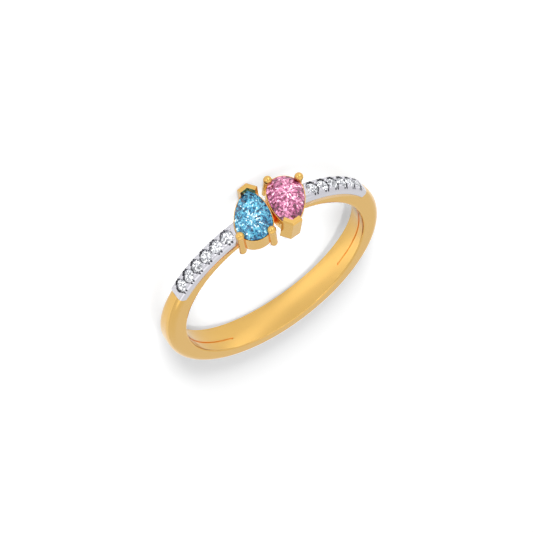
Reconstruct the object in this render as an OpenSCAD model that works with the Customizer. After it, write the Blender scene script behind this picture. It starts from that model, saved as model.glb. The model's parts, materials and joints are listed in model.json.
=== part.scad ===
// Toi et moi ring: two pear stones set head to tail on a tapering yellow gold band,
// with a white pave plate of round diamonds on each shoulder.
//
// The ring is drawn in its own axes: X across the head, Y from the finger's centre up to
// the head, Z along the finger. The last module lays it down on its side, where it rests
// on the rim at the foot of the band and on the lower corner of one V prong.

/* [Finger] */
// Inner diameter of the band
finger_d = 17.3; // [15:0.1:21]
// Easing of the inner edges of the band
mouth_ease = 0.15; // [0.1:0.01:0.2]

/* [Band] */
// Thickness of the band at its sides, level with the finger's centre
band_wall = 1.68; // [1.4:0.02:2.2]
// How far the outer surface is set off toward the head
head_rise = 0.2; // [0:0.05:0.4]
// Width of the band level with the finger's centre
band_w = 1.92; // [1.8:0.02:2.4]
// Lean of each side face toward the other at the head, in degrees
side_lean = 2.32; // [1.5:0.1:2.8]
// Rounding of the outer edges
edge_round = 0.66; // [0.5:0.02:0.7]

/* [Inner line] */
// Distance of the engraved line from the middle of the band
line_z = 0.29; // [0.2:0.01:0.35]
// Width of the engraved line
line_w = 0.16; // [0.1:0.02:0.2]
// Depth of the engraved line
line_depth = 0.08; // [0.08:0.02:0.14]
// Where the line ends on the left, in degrees from the head
line_end_left = 153; // [100:1:170]
// Where the line ends on the right, in degrees from the head
line_end_right = 130; // [100:1:170]

/* [Pave plates] */
// Round diamonds on each shoulder
diamonds_per_side = 6; // [4:1:6]
// Diameter of a round diamond
diamond_d = 1.04; // [0.95:0.01:1.06]
// Space along the band between a pear stone and the nearest diamond
head_space = 0.73; // [0.73:0.01:1]
// Space along the band between one diamond and the next
diamond_space = 0.11; // [0.09:0.01:0.2]
// Thickness of a white plate
plate_t = 0.66; // [0.66:0.02:0.8]
// Metal of a white plate on each side of a diamond
plate_rim = 0.25; // [0.22:0.01:0.28]
// Rounding of a plate's outer edges
plate_round = 0.35; // [0.25:0.05:0.45]
// Metal beyond the last diamond
plate_margin = 0.54; // [0.4:0.02:0.8]
// How far a plate starts under the side of a pear stone
plate_tuck = 0.45; // [0.1:0.05:0.7]
// How far a diamond's girdle lies under the crest of the plate
diamond_sink = 0.16; // [0.1:0.01:0.16]
// Open space round each diamond
seat_play = 0.07; // [0.065:0.005:0.08]
// Depth of that space under the girdle
seat_depth = 0.1; // [0.05:0.01:0.12]
// Radius of the two drilled openings on each side of a diamond
opening_r = 0.09; // [0.07:0.01:0.1]
// Distance of those openings from the diamond's edge
opening_out = 0.1; // [0.08:0.01:0.12]
// Distance between the two openings
opening_apart = 0.28; // [0.24:0.02:0.34]
// Depth of the openings under the crest of the plate
opening_depth = 0.5; // [0.4:0.02:0.54]
// Radius of a pave bead
bead_r = 0.17; // [0.12:0.01:0.18]
// Distance of a bead from the middle of the band, as a share of a diamond's diameter
bead_share = 0.385; // [0.37:0.005:0.42]
// How far the centre of a bead lies under the crest of the plate
bead_sink = 0.1; // [0.05:0.01:0.12]

/* [Pear stones] */
// Length of a pear stone
pear_l = 4.7; // [4.2:0.1:5.2]
// Width of a pear stone
pear_w = 3.0; // [2.6:0.1:3.1]
// Height of the crown over the girdle
pear_crown = 0.48; // [0.3:0.02:0.6]
// Depth of the pavilion under the girdle
pear_pavilion = 1.25; // [1:0.05:1.3]
// Facet sectors around a pear stone
pear_sectors = 14; // [8:2:20]

/* [Head] */
// Height of the girdles over the inside of the band
head_h = 1.7; // [1.6:0.05:2.1]
// Turn of the stones' length from the finger axis, in degrees
pear_turn = 23.6; // [15:0.2:30]
// Distance of a stone's centre line from the middle of the head
pear_side = 1.452; // [1.45:0.01:1.7]
// Distance of a stone's round end centre along its length from the middle of the head
pear_shift = 1.16; // [1:0.02:1.4]
// Outward tilt of each stone, in degrees
pear_tilt = 5; // [0:0.5:8]
// Metal of the collar outside the girdle
collar_lip = 0.08; // [0.05:0.01:0.12]
// Thickness of the collar wall
collar_wall = 0.5; // [0.4:0.02:0.7]
// Radius of a claw's shaft
claw_r = 0.32; // [0.26:0.01:0.36]
// Radius of a claw's round head
claw_head_r = 0.37; // [0.34:0.01:0.4]
// Height of a claw's head centre over the girdle
claw_rise = 0.36; // [0.25:0.01:0.5]
// Angle of a claw from the stone's widest line, in degrees
claw_angle = 40.7; // [30:0.5:55]
// Thickness of the V prong
vee_t = 0.44; // [0.4:0.02:0.6]
// Length of each arm of the V prong
vee_arm = 0.94; // [0.8:0.02:1.1]
// Angle between each arm and the stone's length, in degrees
vee_angle = 60; // [50:1:65]
// Metal of the V prong beyond the stone's tip
vee_reach = 0.2; // [0.16:0.02:0.4]
// Height of the V prong over the girdle
vee_rise = 0.68; // [0.5:0.02:0.7]
// Chamfer on the V prong's outer top edge
vee_bevel = 0.12; // [0.1:0.02:0.3]

/* [Fits] */
// Gap between a stone or plate and the metal that holds it
gap = 0.02; // [0.01:0.005:0.05]
// Clearance of the claws and V prongs over the finger
foot_gap = 0.2; // [0.15:0.05:0.3]
// Clearance of the collars over the finger
collar_gap = 0.5; // [0.35:0.05:0.6]

/* [Hidden] */
$fn = 64;

finger_r = finger_d / 2;
girdle_h = finger_r + head_h;
outer_r = finger_r + band_wall;
half_w = band_w / 2;
reach = 3 * outer_r;
// Distance of a side face's plane from the ring's middle, square to the plane
face_h = half_w * cos(side_lean);
foot_r = finger_r + foot_gap;

// A pear's outline is a round end and two long arcs that meet in the tip
pear_a = pear_w / 2;
pear_tip = pear_l - pear_a;
pear_core = 0.2 * pear_tip;
pear_girdle = 0.08;
pear_table = 0.56;

diamond_crown = 0.16 * diamond_d;
diamond_pavilion = 0.4 * diamond_d;
diamond_girdle = 0.04 * diamond_d;
diamond_table = 0.56;
diamond_sectors = 8;
diamond_r = outer_r - diamond_sink;
// Lengths along the band become angles round the centre of its outer surface
along = 180 / (PI * outer_r);
first_diamond = (pear_side + pear_w / 2 + head_space + diamond_d / 2) * along;
diamond_step = (diamond_d + diamond_space) * along;
plate_start = (pear_side + pear_w / 2 - plate_tuck) * along;
plate_end = first_diamond + (diamonds_per_side - 1) * diamond_step + (diamond_d / 2 + plate_margin) * along;
plate_w = diamond_d + 2 * plate_rim;
bead_z = bead_share * diamond_d;
opening_z = diamond_d / 2 + opening_out;

// The tip corner of the V prong, measured from the centre of the stone's round end
vee_tip = pear_tip + vee_reach;
claw_from_centre = pear_a + claw_r / 2;
// The band under the stones is cut down to this height
saddle_h = girdle_h - 0.6;
saddle_w = 2 * (pear_side + pear_a);

// Resting place: the rim's rounding at the foot and the V prong's lowest corner
rim_back = outer_r - edge_round - head_rise;
rim_y = (face_h - edge_round) * sin(side_lean) - rim_back * cos(side_lean);
rim_z = -(face_h - edge_round) * cos(side_lean) - rim_back * sin(side_lean);
corner_in = pear_side - (girdle_h - foot_r) * tan(pear_tilt);
corner_z = -(vee_tip - pear_shift) * cos(pear_turn) - corner_in * sin(pear_turn);
corner_y = foot_r;
rest_span = sqrt(pow(corner_y - rim_y, 2) + pow(corner_z - rim_z, 2));
rest_turn = -atan2(corner_z - rim_z, corner_y - rim_y) - asin(edge_round / rest_span);
rest_lift = edge_round - (rim_z * cos(rest_turn) + rim_y * sin(rest_turn));

// Reach of the laid ring along Y: the rim at the foot and the far stone's inner claw
claw_h = girdle_h + claw_from_centre * cos(claw_angle) * sin(pear_tilt) + claw_rise * cos(pear_tilt);
claw_x = pear_side - claw_from_centre * cos(claw_angle) * cos(pear_tilt) + claw_rise * sin(pear_tilt);
claw_z = (pear_shift + claw_from_centre * sin(claw_angle)) * cos(pear_turn) - claw_x * sin(pear_turn);
rest_top = claw_h * cos(rest_turn) + claw_z * sin(rest_turn) + claw_head_r;
rest_foot = rim_y * cos(rest_turn) + rim_z * sin(rest_turn) - edge_round;
rest_shift = -(rest_top + rest_foot) / 2;

GOLD = "#d9ad5e";
WHITE_GOLD = "#d3d2da";
DIAMOND = "#eef0f6";
BLUE = "#5fb4e0";
PINK = "#e58bb5";

function tail_r(a, tip) = (a * a + tip * tip) / (2 * a);

// Distance from a core point to the outline, at an angle from the round end
function rim(phi, a, tip, core) =
    let (s = sin(phi), c = cos(phi), big = tail_r(a, tip), side = abs(s) * (big - a) - core * c)
    let (round_hit = core * c + sqrt(max(0, core * core * c * c - core * core + a * a)))
    round_hit * c - core >= 0 ? round_hit
        : -side + sqrt(max(0, side * side + big * big - pow(big - a, 2) - core * core));

// One ring of outline points, scaled about the core point
function gem_ring(n, from, step, share, z, a, tip, core) =
    [for (i = [0:n - 1]) let (phi = from + i * step, d = share * rim(phi, a, tip, core))
        [d * sin(phi), d * cos(phi) - core, z]];

// Brilliant cut: table, stars, mains and halves over the girdle, mains and halves under it
module brilliant(a, tip, core, n, table, crown, girdle, pavilion) {
    step = 360 / n;
    star_share = (1 + table) / 2;
    low_share = 0.22;
    points = concat(
        gem_ring(n, 0, step, table, crown + girdle / 2, a, tip, core),
        gem_ring(n, step / 2, step, star_share, 0.55 * crown + girdle / 2, a, tip, core),
        gem_ring(2 * n, 0, step / 2, 1, girdle / 2, a, tip, core),
        gem_ring(2 * n, 0, step / 2, 1, -girdle / 2, a, tip, core),
        gem_ring(n, step / 2, step, low_share, -0.76 * pavilion - girdle / 2, a, tip, core),
        [[0, -core, -pavilion - girdle / 2]]);
    star = n;
    top = 2 * n;
    low = 4 * n;
    half = 6 * n;
    culet = 7 * n;
    faces = concat(
        [[for (i = [0:n - 1]) i]],
        [for (i = [0:n - 1]) let (j = (i + 1) % n) [i, star + i, j]],
        [for (i = [0:n - 1]) [i, star + (i + n - 1) % n, top + 2 * i]],
        [for (i = [0:n - 1]) [i, top + 2 * i, star + i]],
        [for (i = [0:n - 1]) [star + i, top + 2 * i, top + 2 * i + 1]],
        [for (i = [0:n - 1]) [star + i, top + 2 * i + 1, top + (2 * i + 2) % (2 * n)]],
        [for (i = [0:2 * n - 1]) let (j = (i + 1) % (2 * n)) [top + i, low + i, low + j, top + j]],
        [for (i = [0:n - 1]) [half + i, low + 2 * i + 1, low + 2 * i]],
        [for (i = [0:n - 1]) [half + i, low + (2 * i + 2) % (2 * n), low + 2 * i + 1]],
        [for (i = [0:n - 1]) [culet, low + 2 * i, half + (i + n - 1) % n]],
        [for (i = [0:n - 1]) [culet, half + i, low + 2 * i]]);
    polyhedron(points, [for (f = faces) [for (i = [len(f) - 1:-1:0]) f[i]]], convexity = 4);
}

// A disc with one rounded rim, its flat face at the given height
module rounded_disc(r, top, round) {
    rotate_extrude() {
        translate([0, -half_w]) square([r, top - round + half_w]);
        translate([0, -half_w]) square([r - round, top + half_w]);
        translate([r - round, top - round]) circle(round);
    }
}

// Widening of the band under the white plates, from the finger's edge up to a plate's width
module shoulders() {
    low = half_w - finger_r * sin(side_lean);
    intersection() {
        translate([0, head_rise, 0])
            rotate_extrude($fn = 180)
            polygon([[finger_r - 1, -low / 2], [outer_r - plate_t, -plate_w / 2], [outer_r, -plate_w / 2],
                [outer_r, plate_w / 2], [outer_r - plate_t, plate_w / 2], [finger_r - 1, low / 2]]);
        shoulder_slice(-plate_end, plate_end);
    }
}

// The near half of the band before the finger hole is cut
module blank_half() {
    intersection() {
        rotate([-side_lean, 0, 0])
            translate([0, head_rise, 0])
            rounded_disc(outer_r, face_h, edge_round);
        translate([-reach, -reach, 0]) cube(2 * reach);
    }
}

module blank() {
    blank_half();
    mirror([0, 0, 1]) blank_half();
}

// Eases the near mouth of the finger hole with two narrow bevels
module mouth_cutter() {
    m = mouth_ease;
    rotate([-side_lean, 0, 0])
        translate([0, 0, face_h])
        rotate_extrude($fn = 180)
        polygon([[0, -1.7 * m], [finger_r - 0.3 * m, -1.7 * m], [finger_r + 0.3 * m, -0.3 * m],
            [finger_r + 1.7 * m, 0.3 * m], [0, 0.3 * m]]);
}

module finger_hole(r) {
    translate([0, 0, -reach]) cylinder(h = 2 * reach, r = r, $fn = 180);
}

// Fine engraved line inside the band, open on the finger's side, from the head to an angle
module inner_line(end) {
    from = 16;
    intersection() {
        translate([0, 0, line_z - line_w / 2])
            difference() {
                cylinder(h = line_w, r = finger_r + line_depth, $fn = 180);
                translate([0, 0, -line_w]) cylinder(h = 3 * line_w, r = finger_r - line_depth, $fn = 180);
            }
        translate([0, 0, -reach])
            linear_extrude(2 * reach)
            polygon([[0, 0], for (a = [from, (from + end) / 2, end]) reach * [sin(a), cos(a)]]);
    }
}

// A pie slice of the shoulder between two angles from the head, on one side
module shoulder_slice(from, to) {
    translate([0, head_rise, -reach])
        linear_extrude(2 * reach)
        polygon([[0, 0], reach * [sin(from), cos(from)], reach * [sin(to), cos(to)]]);
}

// The band's outer layer on one shoulder, as wide as a white plate, with its outer edges rounded
module plate_bar() {
    inner = plate_w / 2 - plate_round;
    intersection() {
        translate([0, head_rise, 0])
            rotate_extrude() {
                translate([finger_r, -plate_w / 2]) square([outer_r - plate_round - finger_r, plate_w]);
                translate([finger_r, -inner]) square([outer_r - finger_r, 2 * inner]);
                for (side = [-1, 1]) translate([outer_r - plate_round, side * inner]) circle(plate_round);
            }
        plate_layer(0);
    }
}

// The outer layer of one shoulder that a white plate fills
module plate_layer(play) {
    difference() {
        shoulder_slice(plate_start - play * 5, plate_end + play * 5);
        translate([0, head_rise, -reach]) cylinder(h = 2 * reach, r = outer_r - plate_t - play);
    }
}

// Places children at one diamond of the right shoulder, Z pointing outward
module at_diamond(i) {
    translate([0, head_rise, 0])
        rotate([0, 0, -(first_diamond + (i - 1) * diamond_step)])
        translate([0, diamond_r, 0])
        rotate([-90, 0, 0])
        children();
}

// Room for a diamond: a funnel under the girdle, a straight hole over it
module diamond_room() {
    r = diamond_d / 2 + gap;
    translate([0, 0, -diamond_girdle]) cylinder(h = 2 * diamond_d, r = r);
    translate([0, 0, -diamond_girdle - diamond_pavilion - gap])
        cylinder(h = diamond_pavilion + gap, r1 = gap, r2 = r);
}

// The drilled openings that let light in under a diamond, two on each side
module light_openings() {
    for (side = [-1, 1], end = [-1, 1])
        translate([end * opening_apart / 2, side * opening_z, diamond_sink - opening_depth])
        cylinder(h = 2 * opening_depth, r = opening_r, $fn = 24);
}

// Pave beads between the diamonds and at both ends of the row
module beads() {
    for (i = [0:diamonds_per_side], side = [-1, 1])
        at_diamond(i + 0.5)
        translate([0, side * bead_z, diamond_sink - bead_sink])
        union() {
            translate([0, 0, -3 * bead_r]) cylinder(h = 3 * bead_r, r = bead_r, $fn = 24);
            sphere(bead_r, $fn = 24);
        }
}

module plate_right() {
    color(WHITE_GOLD) difference() {
        union() {
            difference() {
                plate_bar();
                for (i = [1:diamonds_per_side])
                    at_diamond(i)
                    translate([0, 0, -seat_depth])
                    cylinder(h = diamond_d, r = diamond_d / 2 + seat_play);
            }
            beads();
        }
        for (i = [1:diamonds_per_side]) at_diamond(i) {
            diamond_room();
            light_openings();
        }
        for (turn = [0, 180]) rotate([0, turn, 0]) on_pear() head_clearance();
    }
}

module diamond(i) {
    color(DIAMOND) at_diamond(i)
        brilliant(diamond_d / 2, diamond_d / 2, 0, diamond_sectors, diamond_table,
            diamond_crown, diamond_girdle, diamond_pavilion);
}

// Places children on the blue pear: its round end's centre at the origin, its tip toward -Y
module on_pear() {
    rotate([0, 180 - pear_turn, 0])
        rotate([-90, 0, 0])
        translate([pear_side, pear_shift, girdle_h])
        rotate([0, pear_tilt, 0])
        children();
}

// A pear-shaped cone: the outline grown by g0 at the bottom and g1 at the top
module pear_cone(h, g0, g1) {
    big = tail_r(pear_a, pear_tip);
    intersection() {
        cylinder(h = h, r1 = pear_a + g0, r2 = pear_a + g1);
        translate([-reach, 0, -reach]) cube(2 * reach);
    }
    intersection() {
        translate([big - pear_a, 0, 0]) cylinder(h = h, r1 = big + g0, r2 = big + g1, $fn = 180);
        translate([pear_a - big, 0, 0]) cylinder(h = h, r1 = big + g0, r2 = big + g1, $fn = 180);
        translate([-reach, -2 * reach, -reach]) cube(2 * reach);
    }
}

// Room for a pear stone: the set gap at the girdle, a little more under it down to the culet
module pear_room() {
    slope = 0.9 * pear_a / pear_pavilion;
    depth = pear_pavilion + gap;
    translate([0, 0, -pear_girdle / 2 - depth]) pear_cone(depth, gap - depth * slope, gap);
    translate([0, 0, -pear_girdle / 2]) pear_cone(pear_girdle, gap, gap);
    translate([0, 0, pear_girdle / 2])
        pear_cone(pear_crown + gap, gap, gap - (1 - pear_table) * pear_a);
}

module collar() {
    foot = girdle_h - finger_r + 1;
    difference() {
        translate([0, 0, -foot]) pear_cone(foot - pear_girdle / 2, 0, collar_lip);
        translate([0, 0, -foot - 1]) pear_cone(foot + 2, -collar_wall, -collar_wall);
    }
}

module claw(side) {
    foot = girdle_h - finger_r + 1;
    translate([side * claw_from_centre * cos(claw_angle), claw_from_centre * sin(claw_angle), 0]) {
        translate([0, 0, -foot]) cylinder(h = foot + claw_rise, r = claw_r);
        translate([0, 0, claw_rise]) sphere(claw_head_r);
    }
}

// The V prong round the tip, with its outer top edges bevelled
module vee_prong() {
    foot = girdle_h - finger_r + 1;
    arm = vee_arm * [sin(vee_angle), cos(vee_angle)];
    inward = vee_t * [-cos(vee_angle), sin(vee_angle)];
    difference() {
        translate([0, 0, -foot])
            linear_extrude(foot + vee_rise)
            polygon([[0, -vee_tip], [arm[0], arm[1] - vee_tip], arm + inward + [0, -vee_tip],
                [0, vee_t / sin(vee_angle) - vee_tip], [-arm[0] - inward[0], arm[1] + inward[1] - vee_tip],
                [-arm[0], arm[1] - vee_tip]]);
        for (side = [-1, 1])
            translate([0, -vee_tip, vee_rise - vee_bevel])
            rotate([0, 0, side * (90 - vee_angle)])
            rotate([45, 0, 0])
            translate([-reach, -reach, 0])
            cube(2 * reach);
    }
}

module prongs() {
    claw(-1);
    claw(1);
    vee_prong();
}

// What a white plate keeps clear of beside a stone: its collar and its two claws
module head_clearance() {
    foot = girdle_h - finger_r + 1;
    translate([0, 0, -foot]) pear_cone(2 * foot, gap + collar_lip, gap + collar_lip);
    for (side = [-1, 1])
        translate([side * claw_from_centre * cos(claw_angle), claw_from_centre * sin(claw_angle), -foot])
        cylinder(h = 2 * foot, r = claw_r + gap);
}

// The band with its pockets for the white plates, cut down under the stones
module shank() {
    difference() {
        union() {
            blank();
            shoulders();
        }
        finger_hole(finger_r);
        mouth_cutter();
        mirror([0, 0, 1]) mouth_cutter();
        inner_line(line_end_right);
        mirror([1, 0, 0]) inner_line(line_end_left);
        plate_layer(gap);
        mirror([1, 0, 0]) plate_layer(gap);
        translate([-saddle_w / 2, saddle_h, -reach]) cube([saddle_w, reach, 2 * reach]);
    }
}

module heads() {
    difference() {
        for (turn = [0, 180]) rotate([0, turn, 0]) on_pear() prongs();
        finger_hole(foot_r);
    }
    difference() {
        for (turn = [0, 180]) rotate([0, turn, 0]) on_pear() collar();
        finger_hole(finger_r + collar_gap);
    }
}

module gold_ring() {
    color(GOLD) difference() {
        union() {
            shank();
            heads();
        }
        for (turn = [0, 180]) rotate([0, turn, 0]) on_pear() pear_room();
    }
}

module pear_stone() {
    on_pear() brilliant(pear_a, pear_tip, pear_core, pear_sectors, pear_table,
        pear_crown, pear_girdle, pear_pavilion);
}

// Lays the standing ring on its side, its lowest points on the floor
module laid_down() {
    translate([0, rest_shift, rest_lift]) rotate([rest_turn, 0, 0]) children();
}

laid_down() gold_ring();
laid_down() plate_right();  // pave_plate_right
laid_down() rotate([0, 180, 0]) plate_right();  // pave_plate_left
for (i = [1:diamonds_per_side]) {
    laid_down() diamond(i);
    laid_down() mirror([1, 0, 0]) diamond(i);
}
laid_down() color(BLUE) pear_stone();  // blue_pear
laid_down() color(PINK) rotate([0, 180, 0]) pear_stone();  // pink_pear
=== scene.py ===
# Toi et moi ring: a slim yellow gold band with a blue and a pink pear stone set head to tail,
# and a white pave plate of round diamonds on each shoulder. It lies on its side on a pale floor.
import json
import math

import bpy
from mathutils import Matrix, Vector

MM = 0.001

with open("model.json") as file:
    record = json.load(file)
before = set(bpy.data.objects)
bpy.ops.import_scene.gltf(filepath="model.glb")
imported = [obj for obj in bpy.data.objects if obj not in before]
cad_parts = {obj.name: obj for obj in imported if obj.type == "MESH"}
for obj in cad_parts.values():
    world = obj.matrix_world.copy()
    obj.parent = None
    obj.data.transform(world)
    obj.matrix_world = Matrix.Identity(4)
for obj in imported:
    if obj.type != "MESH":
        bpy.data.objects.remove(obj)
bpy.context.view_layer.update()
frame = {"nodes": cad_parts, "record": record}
bpy.ops.object.select_all(action="DESELECT")
scene = bpy.context.scene


# Ring frame
# The finger bore's mount gives the ring's own axes: X across the head, Y up to it, Z along the finger.
bore = next(mount for mount in frame["record"]["mounts"] if mount["name"] == "finger_bore")
finger_axis = Vector(bore["axis"]).normalized()
across = Vector((1, 0, 0))
upward = finger_axis.cross(across)
ring_axes = Matrix((across, upward, finger_axis)).transposed()
ring_place = Matrix.Translation(Vector(bore["pos_m"])) @ ring_axes.to_4x4()


# Camera
# Fitted to the photo together with the ring. Its place and directions are in the ring's own axes.
PHOTO_SIZE = 533
FOCAL_PIXELS = 2844.9
SENSOR = 36.0
CAMERA_PLACE = Vector((-60.17, 205.86, 91.27)) * MM
CAMERA_RIGHT = Vector((0.83362, -0.00255, 0.55233))
CAMERA_UP = Vector((0.48852, 0.46998, -0.73516))
NEAREST_SEEN = 5 * MM

camera_data = bpy.data.cameras.new("camera")
camera_data.sensor_width = SENSOR
camera_data.lens = SENSOR * FOCAL_PIXELS / PHOTO_SIZE
camera_data.clip_start = NEAREST_SEEN
camera = bpy.data.objects.new("camera", camera_data)
scene.collection.objects.link(camera)
view = Matrix((CAMERA_RIGHT, CAMERA_UP, CAMERA_RIGHT.cross(CAMERA_UP))).transposed()
camera.matrix_world = ring_place @ Matrix.Translation(CAMERA_PLACE) @ view.to_4x4()
scene.camera = camera


# Materials
def linear(code):
    """Linear colour of an sRGB hex value."""
    parts = [int(code[i : i + 2], 16) / 255 for i in (1, 3, 5)]
    return tuple(c / 12.92 if c <= 0.04045 else ((c + 0.055) / 1.055) ** 2.4 for c in parts) + (1.0,)


def add(tree, kind, inputs, **settings):
    """Adds a node. An input is a value, or the output socket that feeds it."""
    node = tree.nodes.new(kind)
    for name, value in settings.items():
        setattr(node, name, value)
    for name, value in inputs.items():
        if isinstance(value, bpy.types.NodeSocket):
            tree.links.new(value, node.inputs[name])
        else:
            node.inputs[name].default_value = value
    return node


def new_material(name):
    material = bpy.data.materials.new(name)
    material.use_nodes = True
    material.node_tree.nodes.clear()
    return material, material.node_tree


WHITE = linear("#FFFFFF")

# Polished metal
# Wheel marks and patches of uneven gloss in a millimetre. Real wheel marks are finer, and these are
# as coarse as they need to be to show.
MARKS_PER_MM = 2.6
PATCHES_PER_MM = 0.7
# The marks' depth, and how far the gloss strays from its middle as a share of the roughness
MARK_DEPTH = 0.01 * MM
GLOSS_STRAY = 0.15
# The span that soft noise mostly keeps to
NOISE_LOW = 0.3
NOISE_HIGH = 0.7
# How far a corner reaches out for its painted colour, a painted reflection of the metal in itself and painted
# shade, and the shares of open air where that is full and gone
CORNER_REACH = 0.35 * MM
CORNER_CLOSED = 0.25
CORNER_OPEN = 0.8
CORNER_SAMPLES = 8
# How rough the tool marks leave a corner that the buffing wheel can't reach
CORNER_ROUGHNESS = 0.4


def polished_metal(name, colour, painted_corner_colour, roughness, scratch):
    """A buffed precious metal: faint wheel marks, an uneven gloss, and a colour painted into the corners as a
    painted reflection of the metal in itself and painted shade.
    """
    material, tree = new_material(name)
    coords = add(tree, "ShaderNodeTexCoord", {}).outputs["Object"]
    marks = add(tree, "ShaderNodeTexNoise", {"Vector": coords, "Scale": MARKS_PER_MM / MM, "Detail": 3.0,
                                             "Roughness": 0.6})
    bump = add(tree, "ShaderNodeBump", {"Strength": scratch, "Distance": MARK_DEPTH,
                                        "Height": marks.outputs["Fac"]})
    patches = add(tree, "ShaderNodeTexNoise", {"Vector": coords, "Scale": PATCHES_PER_MM / MM, "Detail": 2.0})
    gloss = add(tree, "ShaderNodeMapRange", {"Value": patches.outputs["Fac"],
                                             "From Min": NOISE_LOW, "From Max": NOISE_HIGH,
                                             "To Min": roughness * (1 - GLOSS_STRAY),
                                             "To Max": roughness * (1 + GLOSS_STRAY)})
    # Open air round each point: in closed corners the colour turns to the painted corner colour (painted
    # reflection and painted shade), and the gloss turns to the corner roughness.
    air = add(tree, "ShaderNodeAmbientOcclusion", {"Distance": CORNER_REACH}, samples=CORNER_SAMPLES)
    openness = add(tree, "ShaderNodeMapRange", {"Value": air.outputs["AO"], "From Min": CORNER_CLOSED,
                                                "From Max": CORNER_OPEN}).outputs["Result"]
    tone = add(tree, "ShaderNodeMix", {0: openness, 6: linear(painted_corner_colour), 7: linear(colour)}, data_type="RGBA")
    finish = add(tree, "ShaderNodeMix", {0: openness, 2: CORNER_ROUGHNESS, 3: gloss.outputs["Result"]},
                 data_type="FLOAT")
    shader = add(tree, "ShaderNodeBsdfPrincipled", {"Base Color": tone.outputs[2], "Metallic": 1.0,
                                                    "Roughness": finish.outputs[0],
                                                    "Normal": bump.outputs["Normal"]})
    add(tree, "ShaderNodeOutputMaterial", {"Surface": shader.outputs["BSDF"]})
    return material


# Cut stones
# Facets in each radian round a pear stone's axis, and in each millimetre outward
SPOKES = 7.0
SPOKE_STEPS = 2.2
# The fan of facets counts for this share, and an even grid of them for the rest
FAN_SHARE = 0.5
# The middle of a facet's random colour, where it has no tilt
NO_TILT = (0.5, 0.5, 0.5)
# How much painted light makes a pear stone paler at its axis than midway out, and painted shade darker at its
# rim, as a share of its tones, and the distances from the axis where that starts and ends
PAINTED_LIGHT_SHIFT = 0.1
HEART_RADIUS = 0.4 * MM
RIM_RADIUS = 2.4 * MM
# Distance of the axis from the stone's middle, toward its round end
HEART_SHIFT = 0.6 * MM
# Direction to each round end, across the head and along the finger
BLUE_ROUND_END = (-0.4, 0.916)
PINK_ROUND_END = (0.4, -0.916)
# Where a stone's painted shade, body colour and painted light stand on the scale of its facets, and where its
# painted white glints start
PAINTED_SHADE_STOP = 0.22
MIDDLE_STOP = 0.5
PAINTED_LIGHT_STOP = 0.8
PAINTED_GLINT_STOP = 0.96


def heart_of(node, toward):
    """The axis where a pear stone's facets meet, a little toward its round end from its middle."""
    corners = [Vector(corner) for corner in frame["nodes"][node].bound_box]
    middle = sum(corners, Vector()) / len(corners)
    return middle + (across * toward[0] + finger_axis * toward[1]) * HEART_SHIFT


def round_axis(tree, centre):
    """Angle and distance round a stone's upright axis, and height over its centre."""
    coords = add(tree, "ShaderNodeTexCoord", {}).outputs["Object"]
    offset = add(tree, "ShaderNodeVectorMath", {0: coords, 1: centre}, operation="SUBTRACT").outputs["Vector"]
    side, height, length = [
        add(tree, "ShaderNodeVectorMath", {0: offset, 1: axis}, operation="DOT_PRODUCT").outputs["Value"]
        for axis in (across, upward, finger_axis)
    ]
    flat = add(tree, "ShaderNodeCombineXYZ", {"X": side, "Y": length})
    distance = add(tree, "ShaderNodeVectorMath", {0: flat.outputs["Vector"]}, operation="LENGTH")
    angle = add(tree, "ShaderNodeMath", {0: side, 1: length}, operation="ARCTAN2")
    return angle.outputs["Value"], distance.outputs["Value"], height


def fan(tree, centre):
    """Coordinates whose cells fan out from a stone's axis."""
    angle, distance, height = round_axis(tree, centre)
    spans = ((angle, SPOKES), (distance, SPOKE_STEPS / MM), (height, SPOKE_STEPS / MM))
    cells = [add(tree, "ShaderNodeMath", {0: value, 1: times}, operation="MULTIPLY").outputs["Value"]
             for value, times in spans]
    return add(tree, "ShaderNodeCombineXYZ", dict(zip("XYZ", cells))).outputs["Vector"]


def facet_colours(tree, facet, centre):
    """A random colour for each facet, in a grid and, round a pear stone's axis, in a fan too."""
    grid = add(tree, "ShaderNodeTexCoord", {}).outputs["Object"]
    colours = add(tree, "ShaderNodeTexVoronoi", {"Vector": grid, "Scale": 1 / facet}).outputs["Color"]
    if centre is None:
        return colours
    leaves = add(tree, "ShaderNodeTexVoronoi", {"Vector": fan(tree, centre), "Scale": 1.0})
    return add(tree, "ShaderNodeMix", {0: FAN_SHARE, 6: colours, 7: leaves.outputs["Color"]},
               data_type="RGBA").outputs[2]


def tilted_normal(tree, colours, tilt):
    """The surface's normal, leaned over a different way on each facet."""
    lean = add(tree, "ShaderNodeVectorMath", {0: colours, 1: NO_TILT}, operation="SUBTRACT")
    amount = add(tree, "ShaderNodeVectorMath", {0: lean.outputs["Vector"], "Scale": tilt}, operation="SCALE")
    surface = add(tree, "ShaderNodeNewGeometry", {})
    turned = add(tree, "ShaderNodeVectorMath", {0: surface.outputs["Normal"], 1: amount.outputs["Vector"]},
                 operation="ADD")
    return add(tree, "ShaderNodeVectorMath", {0: turned.outputs["Vector"]},
               operation="NORMALIZE").outputs["Vector"]


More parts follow.
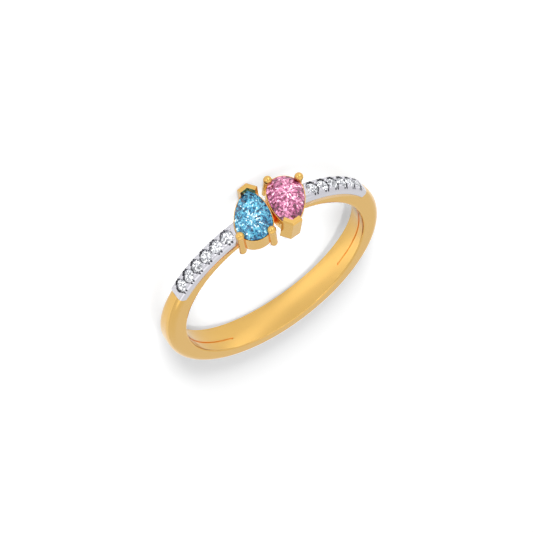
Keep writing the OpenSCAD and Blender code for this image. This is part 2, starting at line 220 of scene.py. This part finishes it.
def painted_facet_shading(tree, colours, centre, painted_facet_tones):
    """The colour of each facet, from painted shade over the body colour and painted light to a painted white
    glint; on a pear stone, painted light at its axis and painted shade at its rim.
    """
    level = add(tree, "ShaderNodeSeparateColor", {"Color": colours}).outputs["Green"]
    if centre is not None:
        distance = round_axis(tree, centre)[1]
        painted_heart_and_rim = add(tree, "ShaderNodeMapRange", {"Value": distance, "From Min": HEART_RADIUS,
                                                "From Max": RIM_RADIUS, "To Min": PAINTED_LIGHT_SHIFT,
                                                "To Max": -PAINTED_LIGHT_SHIFT})
        level = add(tree, "ShaderNodeMath", {0: level, 1: painted_heart_and_rim.outputs["Result"]},
                    operation="ADD").outputs["Value"]
    painted_shading_ramp = add(tree, "ShaderNodeValToRGB", {"Fac": level})
    ramp = painted_shading_ramp.color_ramp
    dark, middle, pale = [linear(tone) for tone in painted_facet_tones]
    ramp.elements[0].position, ramp.elements[0].color = PAINTED_SHADE_STOP, dark
    ramp.elements[1].position, ramp.elements[1].color = PAINTED_LIGHT_STOP, pale
    ramp.elements.new(MIDDLE_STOP).color = middle
    ramp.elements.new(PAINTED_GLINT_STOP).color = WHITE
    return painted_shading_ramp.outputs["Color"]


def cut_gem(name, painted_facet_tones, ior, facet, tilt, clear, centre=None):
    """A cut stone. Small flat facets, each tilted its own way, break up the light inside. Each facet also has
    painted shade, painted light and, on a few, a painted white glint in its colour.
    """
    material, tree = new_material(name)
    colours = facet_colours(tree, facet, centre)
    shader = add(tree, "ShaderNodeBsdfPrincipled", {"Base Color": painted_facet_shading(tree, colours, centre, painted_facet_tones),
                                                    "Roughness": 0.0, "IOR": ior,
                                                    "Transmission Weight": clear,
                                                    "Normal": tilted_normal(tree, colours, tilt)})
    add(tree, "ShaderNodeOutputMaterial", {"Surface": shader.outputs["BSDF"]})
    return material


# Each stone's three tones are its painted shade, its body colour and its painted light.
FINISHES = {
    # 18 carat yellow gold, cast and buffed: warm straw yellow, with orange painted into its corners as a
    #                                        painted reflection of the gold in itself
    "yellow_gold": polished_metal("polished_yellow_gold", "#DAB064", painted_corner_colour="#FFAC3C", roughness=0.13,
                                  scratch=0.25),
    # Rhodium plated white gold: a cool, slightly lilac white, with a little grey painted shade in the drilled
    # corners
    "white_gold": polished_metal("rhodium_plated_gold", "#CCCBD1", painted_corner_colour="#C0C0C6", roughness=0.14,
                                 scratch=0.25),
    # Diamond: colourless, with the strongest sparkle of all stones; its greys are painted shade and painted
    # light on the facets
    "diamond": cut_gem("diamond", ("#484A50", "#94969C", "#D0D2D6"), ior=2.417, facet=0.1 * MM, tilt=0.4,
                       clear=0.3),
    # Blue topaz: light sky blue
    "blue_topaz": cut_gem("sky_blue_topaz", ("#00203E", "#126C96", "#66C2DA"), ior=1.63, facet=0.13 * MM,
                          tilt=0.6, clear=0.5, centre=heart_of("blue_pear", BLUE_ROUND_END)),
    # Pink sapphire: clear rose
    "pink_sapphire": cut_gem("pink_sapphire", ("#4A0020", "#98386A", "#EC9CC0"), ior=1.77, facet=0.13 * MM,
                             tilt=0.6, clear=0.45, centre=heart_of("pink_pear", PINK_ROUND_END)),
}
for subpart in frame["record"]["subparts"]:
    for slot in frame["nodes"][subpart["node"]].material_slots:
        slot.material = FINISHES[subpart["material_slot"]]


# Floor
# A light table: white acrylic with a satin face, lit faintly from below
FLOOR_SIZE = 6.0
FLOOR_DROP = 0.02 * MM
FLOOR_COLOUR = "#F7F7F7"
FLOOR_GLOW = 0.28
# Grains of the satin face in a millimetre, their height and how strongly they show
GRAINS_PER_MM = 1.5
GRAIN_HEIGHT = 0.005 * MM
GRAIN_STRENGTH = 0.1
SATIN_SMOOTH = 0.5
SATIN_ROUGH = 0.7


def satin_acrylic(name):
    """White acrylic with an even, fine grain and a faint light from inside."""
    material, tree = new_material(name)
    coords = add(tree, "ShaderNodeTexCoord", {}).outputs["Object"]
    grain = add(tree, "ShaderNodeTexNoise", {"Vector": coords, "Scale": GRAINS_PER_MM / MM, "Detail": 2.0})
    satin = add(tree, "ShaderNodeMapRange", {"Value": grain.outputs["Fac"], "To Min": SATIN_SMOOTH,
                                             "To Max": SATIN_ROUGH})
    relief = add(tree, "ShaderNodeBump", {"Strength": GRAIN_STRENGTH, "Distance": GRAIN_HEIGHT,
                                          "Height": grain.outputs["Fac"]})
    shader = add(tree, "ShaderNodeBsdfPrincipled", {"Base Color": linear(FLOOR_COLOUR),
                                                    "Roughness": satin.outputs["Result"],
                                                    "Normal": relief.outputs["Normal"],
                                                    "Emission Color": WHITE,
                                                    "Emission Strength": FLOOR_GLOW})
    add(tree, "ShaderNodeOutputMaterial", {"Surface": shader.outputs["BSDF"]})
    return material


bpy.ops.mesh.primitive_plane_add(size=FLOOR_SIZE, location=(0, 0, -FLOOR_DROP))
floor = bpy.context.object
floor.name = "floor"
floor.data.materials.append(satin_acrylic("pale_floor"))


# Studio
# Even pale walls with soft panels, each a direction, a half width in degrees, the width of its soft edge
# and its brightness. A panel below zero is a dark flag. The floor takes only a share of this light, and
# the rest comes from the lamps, which leave the shadows.
WALLS = 1.0
FLOOR_SHARE = 0.3
PANELS = [
    ((0.0, 0.1, 1.0), 30.0, 14.0, 0.25),  # ceiling
    ((-0.7, -0.2, 0.7), 14.0, 10.0, 0.5),  # high on the left
    ((0.35, 0.85, 0.2), 12.0, 6.0, 1.7),  # low before the head, right
    ((-0.6, 0.75, 0.1), 10.0, 6.0, 1.5),  # low before the head, left
    ((-0.258, 0.883, 0.393), 8.0, 4.0, -0.35),  # flag at the camera
    ((0.05, 0.95, 0.0), 5.0, 3.0, -0.5),  # flag low before the head
    ((0.6, 0.6, 0.5), 9.0, 4.0, -0.15),  # flag on the right
]


def studio(name):
    """The light all round the ring."""
    world = bpy.data.worlds.new(name)
    world.use_nodes = True
    tree = world.node_tree
    tree.nodes.clear()
    outward = add(tree, "ShaderNodeTexCoord", {}).outputs["Generated"]
    light = WALLS
    for direction, half, edge, strength in PANELS:
        facing = add(tree, "ShaderNodeVectorMath", {0: outward, 1: Vector(direction).normalized()},
                     operation="DOT_PRODUCT")
        panel = add(tree, "ShaderNodeMapRange", {"Value": facing.outputs["Value"],
                                                 "From Min": math.cos(math.radians(half + edge)),
                                                 "From Max": math.cos(math.radians(half)),
                                                 "To Min": 0.0, "To Max": strength},
                    interpolation_type="SMOOTHSTEP")
        light = add(tree, "ShaderNodeMath", {0: panel.outputs["Result"], 1: light},
                    operation="ADD").outputs["Value"]
    path = add(tree, "ShaderNodeLightPath", {})
    share = add(tree, "ShaderNodeMapRange", {"Value": path.outputs["Is Diffuse Ray"], "To Min": 1.0,
                                             "To Max": FLOOR_SHARE})
    light = add(tree, "ShaderNodeMath", {0: share.outputs["Result"], 1: light}, operation="MULTIPLY")
    sky = add(tree, "ShaderNodeBackground", {"Color": WHITE, "Strength": light.outputs["Value"]})
    add(tree, "ShaderNodeOutputWorld", {"Surface": sky.outputs["Background"]})
    return world


scene.world = studio("studio")


# Lamps
# Softboxes light the floor and throw the ring's shadows. Pools of light lie on the floor inside the ring,
# where the inner wall mirrors them. Nothing mirrors a lamp itself.
LAMP_DISTANCE = 0.6


def hang(name, data, place):
    """Hangs a lamp where the metal and the stones don't show it."""
    lamp = bpy.data.objects.new(name, data)
    scene.collection.objects.link(lamp)
    lamp.location = place
    lamp.visible_glossy = False
    lamp.visible_transmission = False
    return lamp


def softbox(name, toward, size, brightness):
    """A large square lamp in a direction from the ring, facing it."""
    data = bpy.data.lights.new(name, "AREA")
    data.shape = "SQUARE"
    data.size = size
    data.energy = brightness * math.pi * size * size
    lamp = hang(name, data, Vector(toward).normalized() * LAMP_DISTANCE)
    lamp.rotation_euler = (-lamp.location).to_track_quat("-Z", "Y").to_euler()


def pool(name, place, radius, height, power):
    """A round spot of light on the floor, from straight above, that fades out from its middle."""
    data = bpy.data.lights.new(name, "SPOT")
    data.energy = power
    data.spot_size = 2 * math.atan(radius / height)
    data.spot_blend = 1.0
    data.shadow_soft_size = 1 * MM
    hang(name, data, (place[0], place[1], height))


softbox("low_lamp", (-0.12, 0.95, 0.24), size=0.18, brightness=78.0)
softbox("back_lamp", (0.3, -0.6, 0.75), size=0.35, brightness=0.8)
pool("wide_pool", (0.0, -0.6 * MM), radius=12.0 * MM, height=300 * MM, power=1.4)
pool("bright_pool", (2.8 * MM, -5.6 * MM), radius=2.8 * MM, height=60 * MM, power=0.07)


# Colour and light paths
# Light goes back and forth many times between a stone and its seat.
scene.view_settings.view_transform = "Standard"
scene.cycles.max_bounces = 24
scene.cycles.glossy_bounces = 8
scene.cycles.transmission_bounces = 16
scene.cycles.caustics_reflective = False
scene.cycles.caustics_refractive = False
